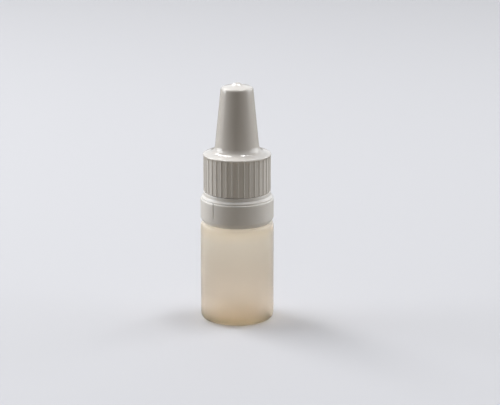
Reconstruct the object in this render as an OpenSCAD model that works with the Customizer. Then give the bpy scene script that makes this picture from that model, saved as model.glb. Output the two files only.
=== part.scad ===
// Squeeze dropper bottle of about 5 ml: a blow-moulded bottle, a pressed-in dropper insert,
// and a screw cap with a tall tapered tower above its tamper-evident band.
// Millimetres, +Z up, origin at the centre of the base. The front is towards -Y.

/* [Bottle body] */
// Outside diameter of the bottle's body
body_d = 20; // [19:0.5:25]
// Height from the base to the flat land of the shoulder
body_h = 27.4; // [22:0.2:45]
// Wall thickness of the body and the shoulder
body_wall = 0.9; // [0.7:0.1:1.4]
// Thickness of the base at its centre
base_wall = 1; // [0.7:0.1:1.6]
// Radius of the rounded foot
foot_r = 1.6; // [1:0.1:2.2]
// Radius of the rounded shoulder edge
shoulder_r = 1.1; // [0.6:0.1:1.2]
// Depth of the push-up under the base
base_recess = 0.7; // [0.3:0.1:1.2]
// Width of the flat ring that the bottle stands on
foot_ring_w = 1.4; // [1:0.1:2]

/* [Neck] */
// Outside diameter of the neck between its threads
neck_d = 13.6; // [12.8:0.1:14]
// Bore of the neck, which holds the dropper insert's plug
neck_bore_d = 9.8; // [9:0.1:10.6]
// Height of the neck from the shoulder's land to its rim
neck_h = 16.4; // [16:0.1:20]
// How far the retaining bead stands out of the neck
bead_depth = 0.9; // [0.7:0.1:1]
// Height of the bead's catching edge above the shoulder's land
bead_lift = 4.6; // [4:0.1:5.2]

/* [Screw thread] */
// Rise of the single-start thread in one turn
thread_pitch = 3; // [2.6:0.1:3.4]
// Radial depth of both threads
thread_depth = 0.75; // [0.6:0.05:0.85]
// Turns of thread on the neck
neck_turns = 1.5; // [1.2:0.1:1.6]
// Turns of thread inside the cap
cap_turns = 1.4; // [1:0.1:1.5]

/* [Tamper-evident band] */
// Height of the band's full-diameter wall
band_wall_h = 6.6; // [6:0.1:7]
// Thickness of the band's full-diameter wall
band_wall = 1.2; // [1:0.1:1.3]
// Width of the taper at the band's foot
band_foot_w = 0.7; // [0.4:0.05:0.8]
// Height of the taper at the band's foot
band_foot_h = 1.2; // [0.8:0.1:1.6]
// Width and rounding of the small step above the wall
band_step_w = 0.3; // [0.2:0.05:0.4]
// Height of that step
band_step_h = 0.45; // [0.3:0.05:0.8]
// Height of the collar that reaches up to the skirt
collar_h = 1.25; // [0.9:0.05:1.4]
// Height of the sloping foot of the collar
collar_slope_h = 0.6; // [0.3:0.05:0.8]
// Height of the slit that the bridges cross
slit_h = 0.2; // [0.15:0.05:0.4]
// Number of bridges that tear at the first opening
bridge_count = 8; // [4:1:16]
// Width of one bridge
bridge_w = 0.8; // [0.5:0.1:1.2]

/* [Cap] */
// Wall thickness of the skirt behind its ribs
skirt_wall = 1.2; // [0.9:0.05:1.3]
// Number of grip ribs
rib_count = 36; // [24:1:48]
// How far the grip ribs stand out
rib_depth = 0.25; // [0.15:0.05:0.4]
// Width of a rib where it leaves the skirt
rib_w = 0.5; // [0.4:0.02:0.8]
// Thickness of the cap's shoulder at its edge
cap_shoulder = 1.7; // [1.2:0.1:2.2]
// Rise of the cap's sloping shoulder from its edge to the fillet round the tower
cap_rise = 0.25; // [0.1:0.05:0.6]
// Radius of the fillet between the shoulder and the tower
root_fillet = 2.2; // [0.8:0.1:2.4]
// Wall thickness of the tower
tower_wall = 1.15; // [0.9:0.05:1.4]
// Thickness of the tower's top at its edge
top_wall = 0.95; // [0.7:0.05:1.4]
// Rise of the tower's top from its edge to the gate boss
top_dome = 0.5; // [0.3:0.05:0.7]
// Height of the round boss round the moulding gate
gate_boss_h = 0.5; // [0.3:0.05:0.8]

/* [Dropper insert] */
// Thickness of the flange that sits on the neck's rim
flange_t = 1; // [0.8:0.1:1.4]
// Length of the plug that is pressed into the neck
plug_l = 6.5; // [4.5:0.1:8]
// Wall thickness of the plug
plug_wall = 0.85; // [0.6:0.05:1.1]
// Height of the nozzle above its flange
nozzle_h = 17; // [12:0.2:20]
// Diameter of the nozzle where it leaves the flange
nozzle_base_d = 8.6; // [7.6:0.1:9.2]
// Diameter of the nozzle just below its tip
nozzle_tip_d = 4.4; // [3.6:0.1:5]
// Diameter of the orifice that forms the drops
orifice_d = 0.9; // [0.6:0.1:1.4]

/* [Hidden] */
$fn = 96;

// Running room between parts
band_lift = 0.1;        // band above the shoulder's land
hook_gap = 0.3;         // band's hook below the bead, and clear of the neck
thread_gap = 0.25;      // a thread's crest from the wall that faces it
flank_gap = 0.12;       // cap's thread below the neck's
plug_play = 0.06;       // plug inside the bore, between its seal beads
seal_bite = 0.05;       // seal beads pressed into the bore's wall
tower_room = 0.9;       // tower's inside from the nozzle's root
tip_room = 1.3;         // tower's inside from the nozzle's tip
spud_gap = 0.12;        // sealing spud in the nozzle's flared mouth

// Bottle
body_r = body_d / 2;
inner_r = body_r - body_wall;
land_z = body_h;
rim_z = land_z + neck_h;
neck_r = neck_d / 2;
neck_bore_r = neck_bore_d / 2;
foot_flat_r = body_r - foot_r;
foot_inner_r = foot_flat_r - foot_ring_w;
neck_root_fillet = min(0.5, (body_r - shoulder_r - neck_r) / 2);
rim_chamfer = 0.3;
inside_r = 1.1;          // radius inside the foot and the shoulder
bead_r = neck_r + bead_depth;
bead_z = land_z + bead_lift;
bead_lip = 0.35;         // height of the bead's cylindrical edge
bead_ramp = 1.2;         // height of the slope above it

// Threads: a trapezium that thins towards its crest and fades into the wall at both ends
neck_thread_root = 1.5;
neck_thread_crest = 0.7;
cap_thread_root = 1.3;
cap_thread_crest = 0.6;
thread_root_in = 0.3;    // how deep a thread is rooted in its wall
thread_dip = 0.1;        // how far a faded end dips below its wall
thread_fade = 40;        // degrees over which an end fades out
thread_step = 10;        // degrees between two sections
seam = 7;                // degrees from the front seam to a thread's first section
rim_margin = 0.55;       // plain neck above the thread
neck_thread_top = rim_z - rim_margin - neck_thread_root / 2;
neck_thread_z = neck_thread_top - neck_turns * thread_pitch;
thread_major_r = neck_r + thread_depth;
skirt_bore_r = thread_major_r + thread_gap;
overlap_share = (thread_depth - thread_gap) / thread_depth;
flank_reach = max(
    neck_thread_crest + cap_thread_crest + (cap_thread_root - cap_thread_crest) * overlap_share,
    neck_thread_crest + (neck_thread_root - neck_thread_crest) * overlap_share + cap_thread_crest
) / 2;
cap_thread_drop = flank_reach + flank_gap;

// Tamper-evident band
band_r = max(body_r, bead_r + hook_gap + band_wall);
band_z = land_z + band_lift;
step_z = band_z + band_wall_h;
collar_z = step_z + band_step_h;
band_top = collar_z + collar_h;
band_bore_r = band_r - band_wall;
hook_r = neck_r + hook_gap;
hook_top = bead_z - hook_gap;
hook_lip = 0.5;          // height of the hook's edge
hook_ramp = 1.1;         // height of the slope under it
bore_step = 0.8;         // from the hook to the slope that narrows the bore, and that slope's height
foot_bow_w = 0.1;        // rounding between the taper of the foot and the wall
foot_bow_h = 0.25;
riser_chamfer = 0.1;     // at the top of the small step
collar_draft = 0.05;     // lean of the collar's side
score_w = 0.3;           // side of the square groove, set on edge, that makes the score line
score_at = -40;          // degrees round from the front
score_share = 0.62;      // part of the wall's height that it runs down
score_over = 1;          // groove's cutter above the wall

// Cap
skirt_z = band_top + slit_h;
skirt_r = skirt_bore_r + skirt_wall;
rib_r = skirt_r + rib_depth;
collar_inset = 0.1;      // collar inside the ribs
collar_r = rib_r - collar_inset;
collar_bore_r = max(skirt_bore_r, bead_r + hook_gap);
ledge_z = rim_z + flange_t;
edge_z = ledge_z + cap_shoulder;
edge_round = 0.35;
eave_h = 0.35;           // overhang of the shoulder's edge above the skirt, below its rounding
mouth_round = 0.25;      // rounding outside the skirt's mouth
rib_phase = 0.16;        // turn of the ribs from the front, in rib pitches
lead_in = 0.4;           // chamfer at the mouth of the skirt
rib_start = 0.3;         // plain skirt below the ribs
rib_inset = 0.03;        // rib's crest inside the shoulder's edge
rib_end = 0.05;          // rib's end below the edge's rounding
nozzle_tip_z = ledge_z + nozzle_h;
tower_head = 2.05;       // tower's inside above the nozzle's tip
tower_in_top = nozzle_tip_z + tower_head;
tower_top_z = tower_in_top + top_wall;
tower_bore_base = nozzle_base_d / 2 + tower_room;
tower_bore_tip = nozzle_tip_d / 2 + tip_room;
tower_slope = (tower_bore_base - tower_bore_tip) / (nozzle_tip_z - ledge_z);
tower_foot_z = edge_z + cap_rise;
top_round = 0.7;
gate_boss_r = 1.35;      // foot of the boss, whose side leans in
gate_boss_top = 0.85;
boss_flare_w = 0.3;      // foot of the boss running out into the dome
boss_flare_h = 0.12;
boss_bevel_w = 0.15;     // bevel round the boss's top
boss_bevel_h = 0.08;
gate_mark_r = 0.4;       // dimple where the gate was cut
gate_mark = 0.15;
gate_mark_taper = 0.1;
spud_r = 0.55;           // sealing spud where it enters the nozzle's mouth
spud_in = 0.3;           // top of the spud's tapered tip, below the nozzle's tip
spud_flare = 0.15;       // wider root of the spud
spud_tip_bevel = 0.1;
head_chamfer = 0.5;      // inside the tower's top

// Dropper insert
flange_inset = 0.2;      // flange inside the neck's outside
flange_r = neck_r - flange_inset;
flange_round = 0.2;
plug_r = neck_bore_r - plug_play;
plug_bore_r = plug_r - plug_wall;
plug_z = rim_z - plug_l;
seal_r = neck_bore_r + seal_bite;
seal_h = 0.7;            // half the height of a seal bead
low_seal_at = 1.9;       // lower seal bead above the plug's end
high_seal_at = 1.6;      // upper seal bead below the neck's rim
plug_lead_w = 0.4;       // slope round the plug's end
plug_lead_h = 0.8;
nozzle_wall = 1.05;
mouth_h = 1;             // height of the flared mouth
mouth_r = 1.1;
orifice_l = 1.6;
funnel_h = 0.8;          // height of the funnel under the orifice
throat_h = 1;            // slope from the plug's bore up to the nozzle's
nozzle_fillet = 0.3;
tip_round = 0.5;

// Radius of the tower's bore and of its outside at height z
function tower_bore(z) = tower_bore_base - tower_slope * (z - ledge_z);
function tower_out(z) = tower_bore(z) + tower_wall;

// Points along an arc about (x, z) from angle a to angle b
function arc(x, z, r, a, b, steps = 8) =
    [for (i = [0 : steps]) let (t = a + (b - a) * i / steps) [x + r * cos(t), z + r * sin(t)]];

// Revolved solid from an outline of [radius, height] points
module turned(outline) {
    rotate_extrude() polygon(outline);
}

// One helical thread. wall_r is the wall that it grows from, and out is 1 outwards or -1 inwards.
// The sections run from angle start to angle stop, in degrees, on a helix through z at angle 0.
module thread(wall_r, out, root_w, crest_w, z, start, stop) {
    sections = ceil((stop - start) / thread_step);
    function fade(a) = min(1, (a - start) / thread_fade, (stop - a) / thread_fade);
    function depth(a) = (thread_depth + thread_dip) * fade(a) - thread_dip;
    function corner(a, r, dz) = [r * cos(a), r * sin(a), z + thread_pitch * a / 360 + dz];
    function section(a) = let (root_r = wall_r - out * thread_root_in, crest_r = wall_r + out * depth(a)) [
        corner(a, root_r, -root_w / 2), corner(a, crest_r, -crest_w / 2),
        corner(a, crest_r, crest_w / 2), corner(a, root_r, root_w / 2)
    ];
    points = [for (i = [0 : sections]) each section(start + (stop - start) * i / sections)];
    sides = [for (i = [0 : sections - 1], k = [0 : 3])
        let (a = 4 * i + k, b = 4 * i + (k + 1) % 4) each [[a, a + 4, b + 4], [a, b + 4, b]]];
    last = 4 * sections;
    ends = [[0, 1, 2], [0, 2, 3], [last, last + 2, last + 1], [last, last + 3, last + 2]];
    faces = concat(sides, ends);
    polyhedron(points, out < 0 ? faces : [for (f = faces) [f[0], f[2], f[1]]], convexity = 6);
}

// Blow-moulded bottle with a push-up base, a flat shoulder and a threaded neck
module bottle() {
    outside = concat(
        [[0, base_recess], [foot_inner_r - base_recess, base_recess], [foot_inner_r, 0]],
        arc(foot_flat_r, foot_r, foot_r, -90, 0),
        arc(body_r - shoulder_r, land_z - shoulder_r, shoulder_r, 0, 90),
        arc(neck_r + neck_root_fillet, land_z + neck_root_fillet, neck_root_fillet, 270, 180, 4),
        [[neck_r, bead_z], [bead_r, bead_z], [bead_r, bead_z + bead_lip], [neck_r, bead_z + bead_ramp]],
        [[neck_r, rim_z - rim_chamfer], [neck_r - rim_chamfer, rim_z]]
    );
    floor_z = base_recess + base_wall;
    inside = concat(
        [[neck_bore_r + rim_chamfer, rim_z], [neck_bore_r, rim_z - rim_chamfer]],
        arc(neck_bore_r + inside_r, land_z - body_wall + inside_r, inside_r, 180, 270, 5),
        arc(inner_r - inside_r, land_z - body_wall - inside_r, inside_r, 90, 0, 5),
        arc(inner_r - inside_r, body_wall + inside_r, inside_r, 0, -90, 5),
        [[foot_inner_r, body_wall], [foot_inner_r - base_recess, floor_z], [0, floor_z]]
    );
    color([0.86, 0.84, 0.8]) union() {
        turned(concat(outside, inside));
        thread(neck_r, 1, neck_thread_root, neck_thread_crest,
               neck_thread_z, seam, seam + 360 * neck_turns);
    }
}

// Dropper insert: a plug with two seal beads, a flange and a tapered nozzle with a flared mouth
module dropper_insert() {
    nozzle_r = nozzle_base_d / 2;
    tip_r = nozzle_tip_d / 2;
    seal_low = plug_z + low_seal_at;
    seal_high = rim_z - high_seal_at;
    function seal(z) = [
        [plug_r, z - seal_h], [seal_r, z - seal_h / 4],
        [seal_r, z + seal_h / 4], [plug_r, z + seal_h]
    ];
    outside = concat(
        [[plug_bore_r, plug_z], [plug_r - plug_lead_w, plug_z], [plug_r, plug_z + plug_lead_h]],
        seal(seal_low), seal(seal_high),
        [[plug_r, rim_z], [flange_r, rim_z]],
        arc(flange_r - flange_round, ledge_z - flange_round, flange_round, 0, 90, 3),
        arc(nozzle_r + nozzle_fillet, ledge_z + nozzle_fillet, nozzle_fillet, 270, 180, 4),
        arc(tip_r - tip_round, nozzle_tip_z - tip_round, tip_round, 5, 90, 5),
        [[mouth_r, nozzle_tip_z]]
    );
    orifice_z = nozzle_tip_z - mouth_h - orifice_l;
    inside = [
        [orifice_d / 2, nozzle_tip_z - mouth_h], [orifice_d / 2, orifice_z],
        [tip_r - nozzle_wall, orifice_z - funnel_h], [nozzle_r - nozzle_wall, ledge_z],
        [plug_bore_r, rim_z - throat_h]
    ];
    color([0.88, 0.87, 0.83]) turned(concat(outside, inside));
}

// Tamper-evident band: full-diameter wall, a step, a collar level with the ribs,
// an inside hook below the neck's bead, and the bridges up to the skirt
module tamper_band() {
    riser_r = band_r - band_step_w;
    outside = concat(
        [[band_bore_r, band_z], [band_r - band_foot_w, band_z]],
        [[band_r - foot_bow_w, band_z + band_foot_h - foot_bow_h], [band_r, band_z + band_foot_h]],
        arc(riser_r, step_z - band_step_w, band_step_w, 0, 90, 5),
        [[riser_r, collar_z - riser_chamfer], [riser_r - riser_chamfer, collar_z]],
        [[collar_r, collar_z + collar_slope_h], [collar_r - collar_draft, band_top]]
    );
    inside = [
        [collar_bore_r, band_top], [collar_bore_r, hook_top + 2 * bore_step],
        [band_bore_r, hook_top + bore_step],
        [band_bore_r, hook_top], [hook_r, hook_top], [hook_r, hook_top - hook_lip],
        [band_bore_r, hook_top - hook_lip - hook_ramp]
    ];
    score_l = band_wall_h * score_share;
    bridge_r = (collar_bore_r + collar_r) / 2;
    color([0.9, 0.9, 0.88]) union() {
        difference() {
            turned(concat(outside, inside));
            rotate([0, 0, score_at - 90]) translate([band_r, 0, step_z - score_l]) rotate([0, 0, 45])
                translate([-score_w / 2, -score_w / 2, 0]) cube([score_w, score_w, score_l + score_over]);
        }
        for (i = [0 : bridge_count - 1])
            rotate([0, 0, 360 * (i + 0.5) / bridge_count - 90])
                translate([bridge_r - bridge_w / 4, -bridge_w / 2, band_top - slit_h])
                    cube([bridge_w / 2, bridge_w, 2 * slit_h]);
    }
}

// Screw cap: ribbed skirt, sloping shoulder, and a tapered tower with a sealing spud inside
module cap() {
    eave_z = edge_z - edge_round - eave_h;
    foot_out = tower_out(tower_foot_z + root_fillet);
    top_out = tower_out(tower_top_z - top_round);
    boss_z = tower_top_z + top_dome;
    boss_top_z = boss_z + gate_boss_h;
    outside = concat(
        [[skirt_bore_r + lead_in, skirt_z]],
        arc(skirt_r - mouth_round, skirt_z + mouth_round, mouth_round, -90, 0, 3),
        [[skirt_r, eave_z], [rib_r, eave_z + rib_depth]],
        arc(rib_r - edge_round, edge_z - edge_round, edge_round, 0, 70, 4),
        arc(foot_out + root_fillet, tower_foot_z + root_fillet, root_fillet, 255, 184, 7),
        arc(top_out - top_round, tower_top_z - top_round, top_round, 6, 80, 7),
        [[gate_boss_r + boss_flare_w, boss_z], [gate_boss_r, boss_z + boss_flare_h]],
        [[gate_boss_top + boss_bevel_w, boss_top_z - boss_bevel_h], [gate_boss_top, boss_top_z]],
        [[gate_mark_r, boss_top_z], [gate_mark_r - gate_mark_taper, boss_top_z - gate_mark]],
        [[0, boss_top_z - gate_mark]]
    );
    spud_tip = nozzle_tip_z - mouth_h + spud_gap * 2;
    spud_tip_r = orifice_d / 2;
    inside = [
        [0, spud_tip], [spud_tip_r - spud_tip_bevel, spud_tip],
        [spud_r, nozzle_tip_z - spud_in], [spud_r + spud_flare, tower_in_top],
        [tower_bore(tower_in_top) - head_chamfer, tower_in_top],
        [tower_bore(tower_in_top - head_chamfer), tower_in_top - head_chamfer],
        [tower_bore(ledge_z), ledge_z], [skirt_bore_r, ledge_z], [skirt_bore_r, skirt_z + lead_in]
    ];
    cap_thread_z = neck_thread_z - cap_thread_drop;
    lowest = skirt_z + lead_in + cap_thread_root / 2;
    start = max(seam, 360 * (lowest - cap_thread_z) / thread_pitch);
    color([0.93, 0.93, 0.91]) union() {
        turned(concat(outside, inside));
        ribs();
        thread(skirt_bore_r, -1, cap_thread_root, cap_thread_crest,
               cap_thread_z, start, start + 360 * cap_turns);
    }
}

// Grip ribs, round-crested, from just above the skirt's mouth up into the shoulder's edge
module ribs() {
    crest = rib_w / 2;
    low = skirt_z + rib_start;
    high = edge_z - edge_round - rib_end;
    for (i = [0 : rib_count - 1])
        rotate([0, 0, 360 * (i + rib_phase) / rib_count - 90])
            translate([rib_r - crest - rib_inset, 0, low]) cylinder(r = crest, h = high - low);
}

bottle();
dropper_insert();
tamper_band();
cap();
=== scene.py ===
import math
import bpy
import numpy as np
from mathutils import Matrix, Vector


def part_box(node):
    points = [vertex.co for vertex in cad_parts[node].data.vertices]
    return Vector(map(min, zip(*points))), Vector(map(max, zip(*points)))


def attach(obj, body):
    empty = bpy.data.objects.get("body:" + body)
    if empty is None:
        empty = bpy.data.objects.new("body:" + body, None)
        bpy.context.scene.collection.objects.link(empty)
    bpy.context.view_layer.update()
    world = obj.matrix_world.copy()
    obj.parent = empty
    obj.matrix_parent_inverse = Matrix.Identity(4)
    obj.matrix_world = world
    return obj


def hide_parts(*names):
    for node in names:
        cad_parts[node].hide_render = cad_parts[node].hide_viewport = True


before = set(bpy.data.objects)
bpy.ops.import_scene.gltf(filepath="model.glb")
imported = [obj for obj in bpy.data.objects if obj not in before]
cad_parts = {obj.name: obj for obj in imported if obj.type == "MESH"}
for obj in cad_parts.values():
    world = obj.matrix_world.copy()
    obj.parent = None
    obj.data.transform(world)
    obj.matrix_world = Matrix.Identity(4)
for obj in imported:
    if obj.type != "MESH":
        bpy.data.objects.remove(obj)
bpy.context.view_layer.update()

MM = 0.001
SCENE = bpy.context.scene


def reach(node, corner, axis):
    """A limit of a solid's box in millimetres: corner 0 is the lowest and 1 the highest."""
    return round(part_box(node)[corner][axis] / MM, 3)


# Sizes in millimetres. These seven come from the solids' boxes. The rest are the solids' own, apart
# from a few that are drawn for the look: SHOULDER_IN, BAND_TOP, the ribs, the score and parting lines.
BODY_R = reach("bottle", 1, 0)
RIM_Z = reach("bottle", 1, 2)
BAND_Z = reach("tamper_band", 0, 2)
SKIRT_Z = reach("cap", 0, 2)
NOZZLE_TIP = reach("dropper_insert", 1, 2)
BOSS_TOP = reach("cap", 1, 2)
RIB_R = reach("cap", 1, 0)

# Bottle: wall, foot ring and pushed-up base, shoulder, neck, the bead that holds the band, parting line
WALL = 0.9
FOOT_R = 1.6
FOOT_IN = 7.0
RECESS = 0.7
HEEL_IN = 1.1
LAND_Z = BAND_Z - 0.1
SHOULDER_R = 1.1
SHOULDER_IN = 2.5
NECK_R = 6.8
BORE_R = 4.9
LIP_R = 0.3
BEAD_R = NECK_R + 0.9
BEAD_Z = LAND_Z + 4.6
SEAM_HALF = 0.09
SEAM_H = 0.03

# Threads: height at angle 0, angles of both ends in degrees, widths at the wall and at the crest
PITCH = 3.0
THREAD_DEPTH = 0.75
THREAD_SUNK = 0.1
RUN_OUT = 40
NECK_THREAD = dict(z=RIM_Z - 1.3 - 1.5 * PITCH, start=7.0, stop=547.0, root=1.5, crest=0.7)
CAP_THREAD = dict(z=NECK_THREAD["z"] - 1.037, start=10.4, stop=514.4, root=1.3, crest=0.6)

# Tamper band: wall, step, collar, the hook under the bead, the score line and the bridges
BAND_WALL_H = 6.6
BAND_FOOT_W = 0.7
BAND_FOOT_H = 1.2
STEP_Z = BAND_Z + BAND_WALL_H
COLLAR_Z = STEP_Z + 0.45
BAND_TOP = SKIRT_Z - 0.1
BAND_BORE = BODY_R - 1.2
COLLAR_BORE = 8.0
HOOK_R = NECK_R + 0.3
HOOK_TOP = BEAD_Z - 0.3
RISER_R = BODY_R - 0.3
COLLAR_R = RIB_R - 0.1
SCORE_AT = math.radians(-130)
SCORE_HALF = 0.10
SCORE_DEPTH = 0.28
SCORE_LOW = STEP_Z - BAND_WALL_H * 0.62
BRIDGES = 8
BRIDGE_SEGS = 12

# Cap: skirt, ledge on the insert's flange, shoulder's edge, tower, boss on the top and grip ribs
SKIRT_R = RIB_R - 0.25
SKIRT_BORE = 7.8
LEDGE_Z = RIM_Z + 1.0
EDGE_Z = LEDGE_Z + 1.7
FOOT_Z = EDGE_Z + 0.25
ROOT_FILLET = 2.2
BOSS_Z = BOSS_TOP - 0.5
TOP_Z = BOSS_Z - 0.5
IN_TOP = TOP_Z - 0.95
TOWER_ROOT = 5.2
TOWER_TIP = 3.5
TOWER_WALL = 1.15
TOWER_EDGE = 0.7
SLOPE = (TOWER_ROOT - TOWER_TIP) / (NOZZLE_TIP - LEDGE_Z)
RIBS = 36
RIB_PHASE = 0.16
RIB_HALF = 0.23
RIB_H = 0.17


def tower_bore(z):
    """The radius inside the tower at the height z."""
    return TOWER_ROOT - SLOPE * (z - LEDGE_Z)


def tower_out(z):
    """The radius outside the tower at the height z."""
    return tower_bore(z) + TOWER_WALL


def arc(r, z, radius, start, stop, steps):
    """Points of an arc round (r, z), with both angles in degrees."""
    angles = np.radians(np.linspace(start, stop, steps + 1))
    return [(r + radius * math.cos(a), z + radius * math.sin(a)) for a in angles]


def line(p, q, steps):
    """Points from p to q, both left out."""
    return [(p[0] + (q[0] - p[0]) * i / steps, p[1] + (q[1] - p[1]) * i / steps) for i in range(1, steps)]


def thicken(outline, step):
    """The outline with more points wherever two lie further apart than step."""
    out = [outline[0]]
    for p, q in zip(outline, outline[1:]):
        parts = max(1, math.ceil(math.dist(p, q) / step))
        out += line(p, q, parts) + [q]
    return out


def even(segs):
    return np.linspace(0, 2 * np.pi, segs, endpoint=False)


def lathe(name, outline, theta, shape=None, sharp=32.0):
    """A closed revolved skin. shape(theta, r, z) may give a row of points other radii."""
    segs = len(theta)
    verts, rings = [], []
    for r, z in outline:
        if r < 1e-6:
            rings.append([len(verts)])
            verts.append((0.0, 0.0, z))
            continue
        radii, heights = np.full(segs, float(r)), np.full(segs, float(z))
        if shape:
            radii = shape(theta, radii, heights)
        rings.append(list(range(len(verts), len(verts) + segs)))
        verts += list(zip(radii * np.cos(theta), radii * np.sin(theta), heights))
    pairs = list(zip(rings, rings[1:]))
    if len(rings[0]) > 1 and len(rings[-1]) > 1:
        pairs.append((rings[-1], rings[0]))
    faces = []
    for lo, hi in pairs:
        for i in range(segs):
            j = (i + 1) % segs
            if len(lo) == 1:
                faces.append((lo[0], hi[j], hi[i]))
            elif len(hi) == 1:
                faces.append((lo[i], lo[j], hi[0]))
            else:
                faces.append((lo[i], lo[j], hi[j], hi[i]))
    return finish_mesh(name, verts, faces, sharp)


def finish_mesh(name, verts, faces, sharp):
    """An object from points in millimetres, smooth but for the edges over sharp degrees."""
    me = bpy.data.meshes.new(name)
    me.from_pydata([(x * MM, y * MM, z * MM) for x, y, z in verts], [], faces)
    me.validate()
    me.update()
    me.polygons.foreach_set("use_smooth", [True] * len(me.polygons))
    me.set_sharp_from_angle(angle=math.radians(sharp))
    ob = bpy.data.objects.new(name, me)
    SCENE.collection.objects.link(ob)
    return ob


def thread_height(theta, z, thread):
    """How far a thread stands out of its wall, in mm, at angles theta (radians) and heights z."""
    start, stop, root, crest = (thread[key] for key in ("start", "stop", "root", "crest"))
    deg = np.degrees(theta) % 360
    best = np.zeros_like(z)
    for turn in range(-1, 3):
        a = deg + 360 * turn
        inside = (a >= start) & (a <= stop)
        off = np.abs(z - (thread["z"] + PITCH * a / 360))
        fade = np.clip(np.minimum(a - start, stop - a) / RUN_OUT, 0, 1)
        depth = np.maximum(0, (THREAD_DEPTH + THREAD_SUNK) * fade - THREAD_SUNK)
        flank = np.clip((root / 2 - off) / ((root - crest) / 2), 0, 1)
        flank = flank * flank * (3 - 2 * flank)
        best = np.maximum(best, np.where(inside, depth * flank, 0))
    return best


def wave(theta, z, seed):
    """Slow, shallow unevenness of a moulded wall, in mm."""
    return (0.020 * np.sin(2 * theta + 0.11 * z + seed) + 0.012 * np.sin(3 * theta - 0.23 * z + 2.1 * seed)
            + 0.008 * np.sin(5 * theta + 0.31 * z + 0.7 * seed))


# Bottle
def bottle_piece():
    # base with a small raised ring round its middle, foot ring, body, shoulder, neck and bead
    edge, nook, blunt = 0.25, 0.5, 0.06
    ring_z = RECESS - 0.12
    outside = [(0, RECESS), (0.55, RECESS), (0.6, ring_z), (0.95, ring_z), (1.0, RECESS)]
    outside += [(FOOT_IN - RECESS - edge, RECESS)]
    outside += arc(FOOT_IN - RECESS, RECESS - edge, edge, 90, 45, 3)
    outside += arc(FOOT_IN + 0.1, edge, edge, 225, 270, 3)
    outside += arc(BODY_R - FOOT_R, FOOT_R, FOOT_R, -90, 0, 12)
    outside += arc(BODY_R - SHOULDER_R, LAND_Z - SHOULDER_R, SHOULDER_R, 0, 90, 10)
    outside += arc(NECK_R + nook, LAND_Z + nook, nook, 270, 180, 6)
    outside += [(NECK_R, BEAD_Z)]
    outside += arc(BEAD_R - blunt, BEAD_Z + blunt, blunt, 270, 360, 3)
    outside += [(BEAD_R, BEAD_Z + 0.3), (BEAD_R - 0.08, BEAD_Z + 0.4)]
    outside += [(NECK_R + 0.1, BEAD_Z + 1.14), (NECK_R, BEAD_Z + 1.25)]
    # the thread rises from close rows of points
    thread_low, thread_top = RIM_Z - 6.8, RIM_Z - 0.4
    low, top = (NECK_R, thread_low), (NECK_R, thread_top)
    outside += [low] + line(low, top, 64) + [top]
    outside += arc(NECK_R - LIP_R, RIM_Z - LIP_R, LIP_R, 0, 90, 4)

    inner_r, ceiling, floor = BODY_R - WALL, LAND_Z - WALL, RECESS + 1.0
    throat = 1.1
    inside = arc(BORE_R + LIP_R, RIM_Z - LIP_R, LIP_R, 90, 180, 4)
    inside += arc(BORE_R + throat, ceiling + throat, throat, 180, 270, 6)
    inside += arc(inner_r - SHOULDER_IN, ceiling - SHOULDER_IN, SHOULDER_IN, 90, 0, 12)
    inside += arc(inner_r - HEEL_IN, WALL + HEEL_IN, HEEL_IN, 0, -90, 6)
    inside += [(FOOT_IN, WALL), (FOOT_IN - RECESS, floor), (0, floor)]

    def shape(theta, r, z):
        height, rad = z[0], r[0]
        low, top = 1.0, LAND_Z - 0.1
        if rad > BODY_R - 0.1 and low < height < top:
            # the mould's parting line runs up both sides
            ease = min(1, (height - low) / 1.5, (top - height) / 1.5)
            seam = np.exp(-((np.abs(np.sin(theta)) * rad) / SEAM_HALF) ** 2)
            return r - 0.05 + (wave(theta, z, 0.6) * 0.5 + SEAM_H * seam) * ease
        if abs(rad - NECK_R) < 1e-6 and thread_low - 0.1 < height < thread_top + 0.1:
            return r + thread_height(theta, z, NECK_THREAD)
        return r

    return lathe("bottle_shell", thicken(outside, 1.2) + thicken(inside, 1.6), even(432), shape)


# Dropper insert
def insert_piece():
    plug_r, plug_in, plug_z = BORE_R - 0.06, BORE_R - 0.91, RIM_Z - 6.5
    seal_r = BORE_R + 0.05
    tip_r, root_r, wall = 2.2, 4.3, 1.05
    hole_r = 0.45
    out = [(plug_in, plug_z), (plug_r - 0.4, plug_z), (plug_r, plug_z + 0.8)]
    for low in (plug_z + 1.2, RIM_Z - 2.3):
        out += [(plug_r, low), (seal_r, low + 0.55), (seal_r, low + 0.85), (plug_r, low + 1.4)]
    # flange, nozzle, its round tip and the funnel of the hole
    out += [(plug_r, RIM_Z), (NECK_R - 0.2, RIM_Z)]
    out += arc(NECK_R - 0.4, LEDGE_Z - 0.2, 0.2, 0, 90, 5)
    out += arc(root_r + 0.3, LEDGE_Z + 0.3, 0.3, 270, 180, 6)
    out += arc(tip_r - 0.5, NOZZLE_TIP - 0.5, 0.5, 7, 90, 8)
    out += arc(1.15, NOZZLE_TIP - 0.12, 0.12, 90, 145, 4)
    inn = [(hole_r, NOZZLE_TIP - 1.0), (hole_r, NOZZLE_TIP - 2.6), (tip_r - wall, NOZZLE_TIP - 3.4)]
    inn += [(root_r - wall, LEDGE_Z), (plug_in, RIM_Z - 1.0)]
    return lathe("dropper_nozzle", thicken(out, 1.5) + thicken(inn, 2.0), even(192))


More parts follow.
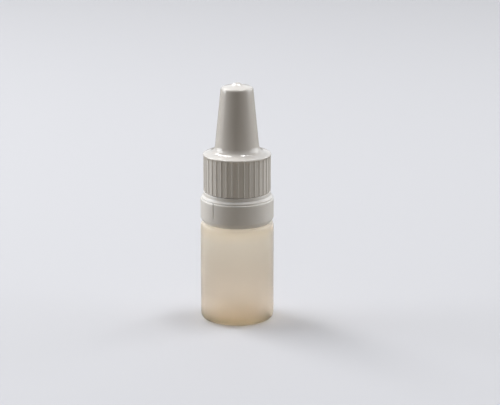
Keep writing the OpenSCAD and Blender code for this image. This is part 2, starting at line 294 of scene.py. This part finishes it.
# Tamper band
def band_piece():
    out = [(BAND_BORE, BAND_Z)]
    out += arc(BODY_R - BAND_FOOT_W - 0.08, BAND_Z + 0.08, 0.08, -90, -30, 3)
    out += arc(BODY_R - 0.5, BAND_Z + BAND_FOOT_H + 0.05, 0.5, -28, 0, 5)
    out += arc(RISER_R, STEP_Z - 0.3, 0.3, 0, 84, 7)
    out += arc(RISER_R + 0.06, STEP_Z + 0.06, 0.06, 260, 180, 3)
    out += arc(RISER_R - 0.12, COLLAR_Z - 0.12, 0.12, 0, 45, 4)
    out += arc(COLLAR_R + 0.12, COLLAR_Z + 0.5, 0.12, 225, 180, 4)
    out += arc(COLLAR_R - 0.13, BAND_TOP - 0.08, 0.08, 5, 90, 3)
    inn = [(COLLAR_BORE, BAND_TOP), (COLLAR_BORE, HOOK_TOP + 1.6), (BAND_BORE, HOOK_TOP + 0.8)]
    inn += [(BAND_BORE, HOOK_TOP), (HOOK_R + 0.08, HOOK_TOP), (HOOK_R, HOOK_TOP - 0.08)]
    inn += [(HOOK_R, HOOK_TOP - 0.5), (BAND_BORE, HOOK_TOP - 1.6)]

    def shape(theta, r, z):
        height, rad = z[0], r[0]
        if rad > RISER_R + 0.01 and BAND_Z < height < STEP_Z + 0.1:
            near = (theta - SCORE_AT + np.pi) % (2 * np.pi) - np.pi
            score = np.exp(-((near * rad) / SCORE_HALF) ** 2)
            depth = SCORE_DEPTH * np.clip((height - SCORE_LOW + 0.3) / 0.6, 0, 1)
            ease = min(1, max(0, (height - BAND_Z - 0.2) / 0.8))
            return r - score * depth - 0.03 * ease + 0.25 * wave(theta, z, 2.3) * ease
        return r

    return lathe("tamper_ring", thicken(out, 0.45) + thicken(inn, 1.0), even(540), shape)


def bridges_piece():
    """Thin bridges that tear when the cap is first turned."""
    # heights, and half widths along and across the ring
    levels = ((BAND_TOP - 0.1, 0.496, 0.272), (BAND_TOP + 0.02, 0.352, 0.192),
              (BAND_TOP + 0.05, 0.272, 0.144), (SKIRT_Z - 0.02, 0.32, 0.176), (SKIRT_Z - 0.001, 0.368, 0.208))
    mid = (COLLAR_BORE + COLLAR_R) / 2
    verts, faces = [], []
    for i in range(BRIDGES):
        turn = math.radians(360 * (i + 0.5) / BRIDGES - 90)
        cos, sin = math.cos(turn), math.sin(turn)
        rows = []
        for z, along, across in levels:
            row = []
            for k in range(BRIDGE_SEGS):
                t = 2 * math.pi * k / BRIDGE_SEGS
                x, y = mid + across * math.cos(t), along * math.sin(t)
                row.append(len(verts))
                verts.append((x * cos - y * sin, x * sin + y * cos, z))
            rows.append(row)
        faces.append(tuple(reversed(rows[0])))
        faces.append(tuple(rows[-1]))
        for lo, hi in zip(rows, rows[1:]):
            for k in range(BRIDGE_SEGS):
                j = (k + 1) % BRIDGE_SEGS
                faces.append((lo[k], lo[j], hi[j], hi[k]))
    return finish_mesh("band_bridges", verts, faces, 40)


# Cap
def cap_piece():
    # skirt, rounded edge, fillet into the tower, top and the dished boss on it
    edge_low = EDGE_Z - 0.7
    out = arc(SKIRT_R - 0.28, SKIRT_Z + 0.28, 0.28, -90, 0, 6)
    out += line((SKIRT_R, SKIRT_Z + 0.28), (SKIRT_R, edge_low), 20)
    out += [(SKIRT_R, edge_low), (SKIRT_R + 0.06, edge_low + 0.09), (SKIRT_R + 0.19, edge_low + 0.25)]
    out += arc(RIB_R - 0.35, EDGE_Z - 0.35, 0.35, 0, 70, 7)
    root_z = FOOT_Z + ROOT_FILLET
    out += arc(tower_out(root_z) + ROOT_FILLET, root_z, ROOT_FILLET, 255, 184, 16)
    edge_z = TOP_Z - TOWER_EDGE
    out += arc(tower_out(edge_z) - TOWER_EDGE, edge_z, TOWER_EDGE, 6, 80, 9)
    out += arc(1.75, BOSS_Z + 0.25, 0.25, 262, 215, 4)
    out += arc(0.82, BOSS_TOP - 0.14, 0.14, 42, 90, 4)
    out += [(0.48, BOSS_TOP), (0.4, BOSS_TOP - 0.03), (0.33, BOSS_TOP - 0.13)]
    out += [(0.28, BOSS_TOP - 0.15), (0, BOSS_TOP - 0.15)]

    # spud, tower's inside, ledge and threaded skirt
    spud_z = NOZZLE_TIP - 0.76
    thread_low, thread_top = SKIRT_Z + 0.5, RIM_Z - 1.2
    inn = [(0, spud_z), (0.3, spud_z), (0.35, spud_z + 0.05), (0.55, NOZZLE_TIP - 0.3), (0.7, IN_TOP)]
    inn += [(tower_bore(IN_TOP) - 0.5, IN_TOP), (tower_bore(IN_TOP - 0.5), IN_TOP - 0.5)]
    inn += [(tower_bore(LEDGE_Z), LEDGE_Z)]
    inn += [(SKIRT_BORE - 0.15, LEDGE_Z), (SKIRT_BORE, LEDGE_Z - 0.15), (SKIRT_BORE, thread_top)]
    inn += line((SKIRT_BORE, thread_top), (SKIRT_BORE, thread_low), 60)
    inn += [(SKIRT_BORE, SKIRT_Z + 0.4), (SKIRT_BORE + 0.4, SKIRT_Z)]

    # the points round the cap lie closest together on the ribs
    pitch = 2 * np.pi / RIBS
    half = RIB_HALF / SKIRT_R
    on_rib = half * np.sin(np.linspace(-np.pi / 2, np.pi / 2, 13))
    between = np.linspace(half, pitch - half, 6)[1:-1]
    one = np.concatenate([on_rib, between]) + RIB_PHASE * pitch - np.pi / 2
    around = np.concatenate([one + k * pitch for k in range(RIBS)])

    def shape(theta, r, z):
        height, rad = z[0], r[0]
        if SKIRT_R - 0.3 <= rad <= SKIRT_R + 0.2 and height < EDGE_Z - 0.2:
            near = (theta + np.pi / 2 + (0.5 - RIB_PHASE) * pitch) % pitch - pitch / 2
            crown = np.clip(1 - (near * SKIRT_R / RIB_HALF) ** 2, 0, 1) ** 1.2
            rise = np.clip((height - SKIRT_Z - 0.02) / 0.3, 0, 1) ** 0.5
            return np.maximum(r, SKIRT_R + RIB_H * crown * rise - (SKIRT_R - rad) * 0.6)
        if abs(rad - SKIRT_BORE) < 1e-6 and thread_low - 0.1 < height < thread_top + 0.1:
            return r - thread_height(theta, z, CAP_THREAD)
        return r

    # one closed loop that starts and ends on the axis: the spud's tip and the top
    return lathe("screw_cap", thicken(inn, 1.6) + thicken(out, 1.1), around, shape, sharp=34)


# Materials
def put(node, values):
    for socket, value in values.items():
        node.inputs[socket].default_value = value


def material(name):
    m = bpy.data.materials.new(name)
    m.use_nodes = True
    nt = m.node_tree
    nt.nodes.clear()
    out = nt.nodes.new("ShaderNodeOutputMaterial")
    bs = nt.nodes.new("ShaderNodeBsdfPrincipled")
    nt.links.new(bs.outputs["BSDF"], out.inputs["Surface"])
    return m, nt, bs


def noise(nt, scale, detail, rough, stretch=None):
    src = nt.nodes.new("ShaderNodeTexCoord").outputs["Object"]
    if stretch:
        mp = nt.nodes.new("ShaderNodeMapping")
        put(mp, {"Scale": stretch})
        nt.links.new(src, mp.inputs["Vector"])
        src = mp.outputs["Vector"]
    n = nt.nodes.new("ShaderNodeTexNoise")
    put(n, {"Scale": scale, "Detail": detail, "Roughness": rough})
    nt.links.new(src, n.inputs["Vector"])
    return n.outputs["Fac"]


def ramp(nt, fac, stops):
    """Colours by position, from the first stop to the last."""
    r = nt.nodes.new("ShaderNodeValToRGB")
    el = r.color_ramp.elements
    el[0].position, el[0].color = stops[0][0], (*stops[0][1], 1)
    el[1].position, el[1].color = stops[1][0], (*stops[1][1], 1)
    for position, colour in stops[2:]:
        el.new(position).color = (*colour, 1)
    nt.links.new(fac, r.inputs["Fac"])
    return r.outputs["Color"]


def spread(nt, fac, lo, hi):
    """The share fac as a value from lo to hi."""
    m = nt.nodes.new("ShaderNodeMapRange")
    put(m, {"To Min": lo, "To Max": hi})
    nt.links.new(fac, m.inputs["Value"])
    return m.outputs["Result"]


def share_between(nt, value, low, high, kind="SMOOTHSTEP"):
    """0 where the value is low and 1 where it is high."""
    m = nt.nodes.new("ShaderNodeMapRange")
    m.interpolation_type = kind
    put(m, {"From Min": low, "From Max": high})
    nt.links.new(value, m.inputs["Value"])
    return m.outputs["Result"]


def axis_of(nt, source, axis):
    """One axis of the texture coordinates Object or Generated."""
    sep = nt.nodes.new("ShaderNodeSeparateXYZ")
    nt.links.new(nt.nodes.new("ShaderNodeTexCoord").outputs[source], sep.inputs["Vector"])
    return sep.outputs[axis]


def blend(nt, share, a, b):
    """From a to b by the share. Each is a colour or a socket."""
    m = nt.nodes.new("ShaderNodeMix")
    m.data_type = "RGBA"
    nt.links.new(share, m.inputs["Factor"])
    for key, c in (("A", a), ("B", b)):
        if isinstance(c, tuple):
            m.inputs[key].default_value = (*c, 1)
        else:
            nt.links.new(c, m.inputs[key])
    return m.outputs["Result"]


def bump(nt, bs, parts):
    """parts: (height, strength, distance in metres), from the broadest to the finest."""
    last = None
    for height, strength, distance in parts:
        b = nt.nodes.new("ShaderNodeBump")
        put(b, {"Strength": strength, "Distance": distance})
        nt.links.new(height, b.inputs["Height"])
        if last:
            nt.links.new(last, b.inputs["Normal"])
        last = b.outputs["Normal"]
    nt.links.new(last, bs.inputs["Normal"])


CLOUD_SHADE = (0.985, 0.985, 0.985)
CLOUD_CLEAR = (1.0, 1.0, 1.0)


def natural_ldpe(name, low, high, tints_and_painted_light, rough, clear):
    """Unpigmented polyethylene, milky and cloudy. The tints are colour stops from low to high, in metres; on
    the bottle they are painted light, shade and a painted warm reflection by height.
    """
    m, nt, bs = material(name)
    tint = ramp(nt, share_between(nt, axis_of(nt, "Object", "Z"), low, high, "LINEAR"), tints_and_painted_light)
    cloud = ramp(nt, noise(nt, 160, 3, 0.55, (1, 1, 0.35)), [(0.3, CLOUD_SHADE), (0.7, CLOUD_CLEAR)])
    mul = nt.nodes.new("ShaderNodeMix")
    mul.data_type = "RGBA"
    mul.blend_type = "MULTIPLY"
    put(mul, {"Factor": 1.0})
    nt.links.new(tint, mul.inputs["A"])
    nt.links.new(cloud, mul.inputs["B"])
    nt.links.new(mul.outputs["Result"], bs.inputs["Base Color"])
    nt.links.new(spread(nt, noise(nt, 420, 4, 0.6), rough, rough + 0.1), bs.inputs["Roughness"])
    put(bs, {"IOR": 1.25, "Transmission Weight": clear,
             "Subsurface Weight": 1.0, "Subsurface Radius": (1.0, 0.92, 0.8), "Subsurface Scale": 0.004,
             "Coat Weight": 0.5, "Coat Roughness": 0.22, "Coat IOR": 1.4})
    bump(nt, bs, [(noise(nt, 260, 2, 0.5, (1, 1, 0.5)), 0.25, 0.0002),
                  (noise(nt, 2600, 3, 0.6), 0.12, 0.00004)])
    return m


def white_plastic(name, base, shade, rough, glow, depth, shine, painted_shade_above=None):
    """Pigmented plastic. The optional darker colour above a height, with the heights between which it
    changes, is painted shade.
    """
    m, nt, bs = material(name)
    colour = ramp(nt, noise(nt, 210, 4, 0.6, (1, 1, 0.5)), [(0.28, shade), (0.66, base)])
    # painted shade: a darker colour blended in above the given height
    if painted_shade_above:
        painted_shade_colour, low, high = painted_shade_above
        colour = blend(nt, share_between(nt, axis_of(nt, "Object", "Z"), low, high), colour, painted_shade_colour)
    nt.links.new(colour, bs.inputs["Base Color"])
    nt.links.new(spread(nt, noise(nt, 520, 5, 0.65), rough - 0.04, rough + 0.06), bs.inputs["Roughness"])
    put(bs, {"IOR": 1.5,
             "Subsurface Weight": glow, "Subsurface Radius": (1.0, 0.95, 0.9), "Subsurface Scale": depth,
             "Coat Weight": shine, "Coat Roughness": 0.06, "Coat IOR": 1.5})
    bump(nt, bs, [(noise(nt, 340, 2, 0.5), 0.1, 0.00012),
                  (noise(nt, 3200, 3, 0.6), 0.08, 0.00003)])
    return m


# the bottle's stops run from the foot to the land under the band. They are painted light and shade: warm and
# pale at the foot as a painted reflection and lifted against the shade there, darker through the middle, and
# pale again under the band against its shadow
LDPE = natural_ldpe("natural_ldpe", 0.0, 0.0274, [
    (0.0, (0.96, 0.88, 0.72)), (0.05, (0.95, 0.87, 0.73)), (0.11, (0.925, 0.855, 0.77)),
    (0.17, (0.865, 0.805, 0.735)), (0.315, (0.775, 0.72, 0.645)), (0.576, (0.77, 0.722, 0.645)),
    (0.836, (0.82, 0.78, 0.705)), (0.955, (0.895, 0.825, 0.71)), (0.985, (1.0, 0.945, 0.85))],
    rough=0.65, clear=0.98)
INSERT = natural_ldpe("insert_ldpe", 0.038, 0.060, [
    (0.0, (0.93, 0.90, 0.85)), (1.0, (0.94, 0.92, 0.87))],
    rough=0.42, clear=0.9)
# The cap's shoulder and tower, above its edge, are painted darker: painted shade that evens out the light
# from the lamps above.
CAP = white_plastic(
    "white_cap", (0.86, 0.825, 0.785), (0.825, 0.79, 0.75), rough=0.13, glow=0.25, depth=0.0008, shine=0.75,
    painted_shade_above=((0.745, 0.71, 0.67), 0.0459, 0.0474))
BAND = white_plastic(
    "white_band", (0.93, 0.90, 0.865), (0.91, 0.88, 0.845), rough=0.28, glow=0.5, depth=0.0005, shine=0.4)


def dress(ob, mat, body):
    ob.data.materials.clear()
    ob.data.materials.append(mat)
    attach(ob, body)


bottle = bottle_piece()
dress(bottle, LDPE, "bottle_body")
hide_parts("bottle")
insert = insert_piece()
dress(insert, INSERT, "bottle_body")
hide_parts("dropper_insert")
ring = band_piece()
bridges = bridges_piece()
dress(ring, BAND, "band_body")
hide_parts("tamper_band")
dress(bridges, BAND, "band_body")
cap = cap_piece()
dress(cap, CAP, "cap_body")
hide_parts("cap")


# Floor: seen paler than the light that it bounces up, which stays low and warm as on a busy table
FLOOR_BOUNCED = (0.24, 0.22, 0.19)
FLOOR_SEEN = (0.57, 0.573, 0.60)
FLOOR_THROUGH = (0.72, 0.72, 0.75)
floor_me = bpy.data.meshes.new("floor")
floor_me.from_pydata([(-3, -2, 0), (3, -2, 0), (3, 5, 0), (-3, 5, 0)], [], [(0, 1, 2, 3)])
floor = bpy.data.objects.new("floor", floor_me)
SCENE.collection.objects.link(floor)
floor_mat, floor_nt, floor_bs = material("pale_floor")
floor_path = floor_nt.nodes.new("ShaderNodeLightPath")
floor_colour = blend(floor_nt, floor_path.outputs["Is Camera Ray"], FLOOR_BOUNCED, FLOOR_SEEN)
floor_colour = blend(floor_nt, floor_path.outputs["Is Transmission Ray"], floor_colour, FLOOR_THROUGH)
floor_nt.links.new(floor_colour, floor_bs.inputs["Base Color"])
put(floor_bs, {"Roughness": 0.7, "Specular IOR Level": 0.2})
floor.data.materials.append(floor_mat)

# World: a dim, warm room in front of the object and a pale wall behind it, seen evenly pale itself
ROOM_TINT, ROOM_LEVEL = (1.0, 0.94, 0.88), 0.11
WALL_TINT, WALL_LEVEL = (0.94, 0.97, 1.0), 0.75
SEEN_TINT, SEEN_LEVEL = (0.97, 0.975, 1.0), 0.75
world = bpy.data.worlds.new("studio")
SCENE.world = world
world.use_nodes = True
sky = world.node_tree
back = sky.nodes["Background"]
behind = share_between(sky, axis_of(sky, "Generated", "Y"), -0.1, 0.8)
sky_path = sky.nodes.new("ShaderNodeLightPath")
either = sky.nodes.new("ShaderNodeMath")
either.operation = "MAXIMUM"
sky.links.new(sky_path.outputs["Is Camera Ray"], either.inputs[0])
sky.links.new(sky_path.outputs["Is Transmission Ray"], either.inputs[1])
seen = either.outputs["Value"]
sky_tint = blend(sky, behind, ROOM_TINT, WALL_TINT)
sky.links.new(blend(sky, seen, sky_tint, SEEN_TINT), back.inputs["Color"])
level = sky.nodes.new("ShaderNodeMapRange")
put(level, {"To Max": SEEN_LEVEL})
sky.links.new(spread(sky, behind, ROOM_LEVEL, WALL_LEVEL), level.inputs["To Min"])
sky.links.new(seen, level.inputs["Value"])
sky.links.new(level.outputs["Result"], back.inputs["Strength"])


# Lamps, in metres and watts
def lamp(name, at, aim, size, size_y, power, tint=(1, 1, 1)):
    light = bpy.data.lights.new(name, "AREA")
    light.shape = "RECTANGLE"
    light.size, light.size_y = size, size_y
    light.energy = power
    light.color = tint
    ob = bpy.data.objects.new(name, light)
    ob.location = at
    ob.rotation_euler = (Vector(aim) - Vector(at)).to_track_quat("-Z", "Y").to_euler()
    SCENE.collection.objects.link(ob)
    return ob


def strip(name, start, end, width, power):
    """A long lamp from start to end that faces the cap and makes its glints."""
    start, end, aim = Vector(start), Vector(end), Vector((0, 0, 0.05))
    ob = lamp(name, (start + end) / 2, aim, (end - start).length, width, power)
    away = (ob.location - aim).normalized()
    side = away.cross((end - start).normalized()).normalized()
    ob.rotation_euler = Matrix((side.cross(away), side, away)).transposed().to_euler()


MIDDLE = (0, 0, 0.04)
COOL = (0.95, 0.975, 1.0)
lamp("left", (-0.75, 0.15, 0.30), MIDDLE, 0.5, 0.6, 3.4, COOL)
lamp("right", (0.75, 0.16, 0.29), MIDDLE, 0.8, 0.6, 2.85, COOL)
lamp("above", (0.0, -0.03, 1.2), MIDDLE, 1.0, 0.8, 1.4)
strip("glint_left", (-0.27, 0.04, 1.1), (-0.60, 0.67, 0.68), 0.24, 5.6)
strip("glint_right", (0.38, 0.10, 1.07), (0.52, 0.36, 0.95), 0.06, 0.8)
strip("spot_right", (0.17, 0.03, 1.12), (0.34, 0.04, 1.10), 0.28, 2.8)

# Camera, at the photo's angle
CAMERA_AT = (0.0, -0.5614, 0.184)
PITCH_DOWN, YAW = math.radians(15.1), math.radians(0.358)
cam = bpy.data.cameras.new("camera")
cam.sensor_width = 36.0
cam.lens = 153.4
cam.clip_start = 0.01
cam_ob = bpy.data.objects.new("camera", cam)
SCENE.collection.objects.link(cam_ob)
SCENE.camera = cam_ob
level_way = math.cos(PITCH_DOWN)
look = Vector((math.sin(YAW) * level_way, math.cos(YAW) * level_way, -math.sin(PITCH_DOWN)))
cam_ob.location = CAMERA_AT
cam_ob.rotation_euler = look.to_track_quat("-Z", "Y").to_euler()

SCENE.view_settings.view_transform = "Standard"
